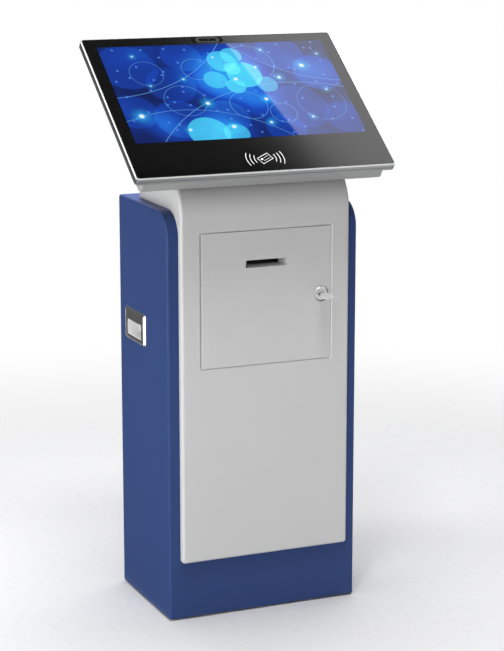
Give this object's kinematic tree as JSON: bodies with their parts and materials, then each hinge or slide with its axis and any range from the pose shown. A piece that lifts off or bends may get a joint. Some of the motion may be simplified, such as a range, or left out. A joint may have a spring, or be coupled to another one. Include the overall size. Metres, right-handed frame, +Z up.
{
  "type": "check-in kiosk",
  "caption": "Free-standing visitor check-in kiosk: blue steel cabinet, light grey front cover with a locked service door and receipt slot, and a tilted touch monitor.",
  "frame": {"origin": "centre of the cabinet's footprint on the floor, at the middle of its four floor anchors", "axes": "+Z up, -Y towards the visitor in front of the kiosk, +X to that visitor's right"},
  "size_m": [0.5314, 0.353, 1.1025],
  "materials": {
    "blue_paint": "fine satin powder coat",
    "grey_paint": "fine textured powder coat",
    "handle_metal": "satin",
    "zinc_steel": "satin",
    "bright_steel": "polished",
    "chrome": "polished",
    "brass": "satin",
    "aluminium": "satin anodised",
    "front_glass": "gloss",
    "display": "gloss",
    "circuit_board": "satin",
    "rubber": "matte",
    "black_plastic": "fine texture",
    "grey_plastic": "satin",
    "paper": "matte paper",
    "blue_plastic": "gloss",
    "red_plastic": "gloss"
  },
  "bodies": {
    "cabinet": {"base_plate": "zinc_steel", "cable_grommet": "rubber", "left_side_panel": "blue_paint", "right_side_panel": "blue_paint", "front_panel": "blue_paint", "top_panel": "blue_paint", "rear_sill": "blue_paint", "front_cover": "grey_paint", "neck_cover": "grey_paint", "neck_rear_cover": "grey_paint", "door_jamb": "grey_paint", "hinge_pins": "bright_steel", "handle_frames": "handle_metal", "handle_cups": "grey_paint", "neck_gussets": "zinc_steel", "mount_plate": "zinc_steel", "monitor_bolts": "bright_steel", "monitor_inner_plate": "zinc_steel", "monitor_back_cover": "grey_paint", "monitor_frame": "aluminium", "front_glass": "front_glass", "display_panel": "display", "display_board": "circuit_board", "camera_surround": "black_plastic", "camera_module": "black_plastic", "card_reader": "circuit_board", "speakers": "black_plastic", "printer_shelf": "zinc_steel", "printer_chassis": "black_plastic", "print_head": "zinc_steel", "feed_motor": "black_plastic", "feed_switch": "black_plastic", "roll_holder": "black_plastic", "component_shelf": "zinc_steel", "pc_case": "black_plastic", "pc_mainboard": "circuit_board", "power_supply": "zinc_steel", "power_inlet": "black_plastic", "power_switch": "black_plastic", "network_socket": "black_plastic", "rear_hinge_leaves": "zinc_steel"},
    "service_door": {"service_door": "grey_paint", "slot_funnel": "grey_plastic", "lock_housing": "chrome"},
    "service_plug": {"lock_plug": "brass", "lock_cam": "bright_steel"},
    "key": {"key": "bright_steel"},
    "rear_door": {"rear_door": "blue_paint", "rear_door_leaves": "zinc_steel", "fan_frame": "black_plastic", "rear_lock_housing": "chrome"},
    "rear_plug": {"rear_lock_plug": "brass", "rear_lock_cam": "bright_steel"},
    "fan_rotor": {"fan_rotor": "black_plastic"},
    "printer_lid": {"printer_lid": "black_plastic"},
    "platen": {"platen_roller": "rubber"},
    "paper_roll": {"paper_roll": "paper"},
    "feed_button": {"feed_button": "blue_plastic"},
    "pc_button": {"pc_button": "bright_steel"},
    "power_rocker": {"power_rocker": "red_plastic"}
  },
  "joints": [
    {"name": "service_door_hinge", "type": "hinge", "parent": "cabinet", "child": "service_door", "pos_m": [-0.1305, -0.1399, 0.6281], "axis": [0, 0, -1], "range_deg": [0, 100]},
    {"name": "service_lock_turn", "type": "hinge", "parent": "service_door", "child": "service_plug", "pos_m": [0.1137, -0.1439, 0.6265], "axis": [0, 1, 0], "range_deg": [0, 90]},
    {"name": "key_withdraw", "type": "slide", "parent": "service_plug", "child": "key", "axis": [0, -1, 0], "range_m": [0, 0.02]},
    {"name": "rear_door_hinge", "type": "hinge", "parent": "cabinet", "child": "rear_door", "pos_m": [-0.1657, 0.1343, 0.4255], "axis": [0, 0, 1], "range_deg": [0, 110]},
    {"name": "rear_lock_turn", "type": "hinge", "parent": "rear_door", "child": "rear_plug", "pos_m": [0.1439, 0.13, 0.42], "axis": [0, 1, 0], "range_deg": [0, 90]},
    {"name": "fan_spin", "type": "hinge", "parent": "rear_door", "child": "fan_rotor", "pos_m": [0, 0.1155, 0.6], "axis": [0, 1, 0], "continuous": true},
    {"name": "printer_lid_hinge", "type": "hinge", "parent": "cabinet", "child": "printer_lid", "pos_m": [0, -0.0559, 0.6972], "axis": [-1, 0, 0], "range_deg": [0, 75]},
    {"name": "platen_spin", "type": "hinge", "parent": "printer_lid", "child": "platen", "pos_m": [0, -0.1059, 0.69755], "axis": [1, 0, 0], "continuous": true},
    {"name": "paper_roll_spin", "type": "hinge", "parent": "cabinet", "child": "paper_roll", "pos_m": [0, -0.0119, 0.6832], "axis": [1, 0, 0], "continuous": true},
    {"name": "feed_button_press", "type": "slide", "parent": "cabinet", "child": "feed_button", "axis": [0, 1, 0], "range_m": [0, 0.0015], "stiffness_N_per_m": 400},
    {"name": "pc_button_press", "type": "slide", "parent": "cabinet", "child": "pc_button", "axis": [0, -1, 0], "range_m": [0, 0.0015], "stiffness_N_per_m": 400},
    {"name": "rocker_tilt", "type": "hinge", "parent": "cabinet", "child": "power_rocker", "pos_m": [-0.1, 0.1305, 0.048], "axis": [1, 0, 0], "range_deg": [0, 20]}
  ],
  "couplings": [
    {"joint": "platen_spin", "follows": "paper_roll_spin", "ratio": 5.3333}
  ]
}
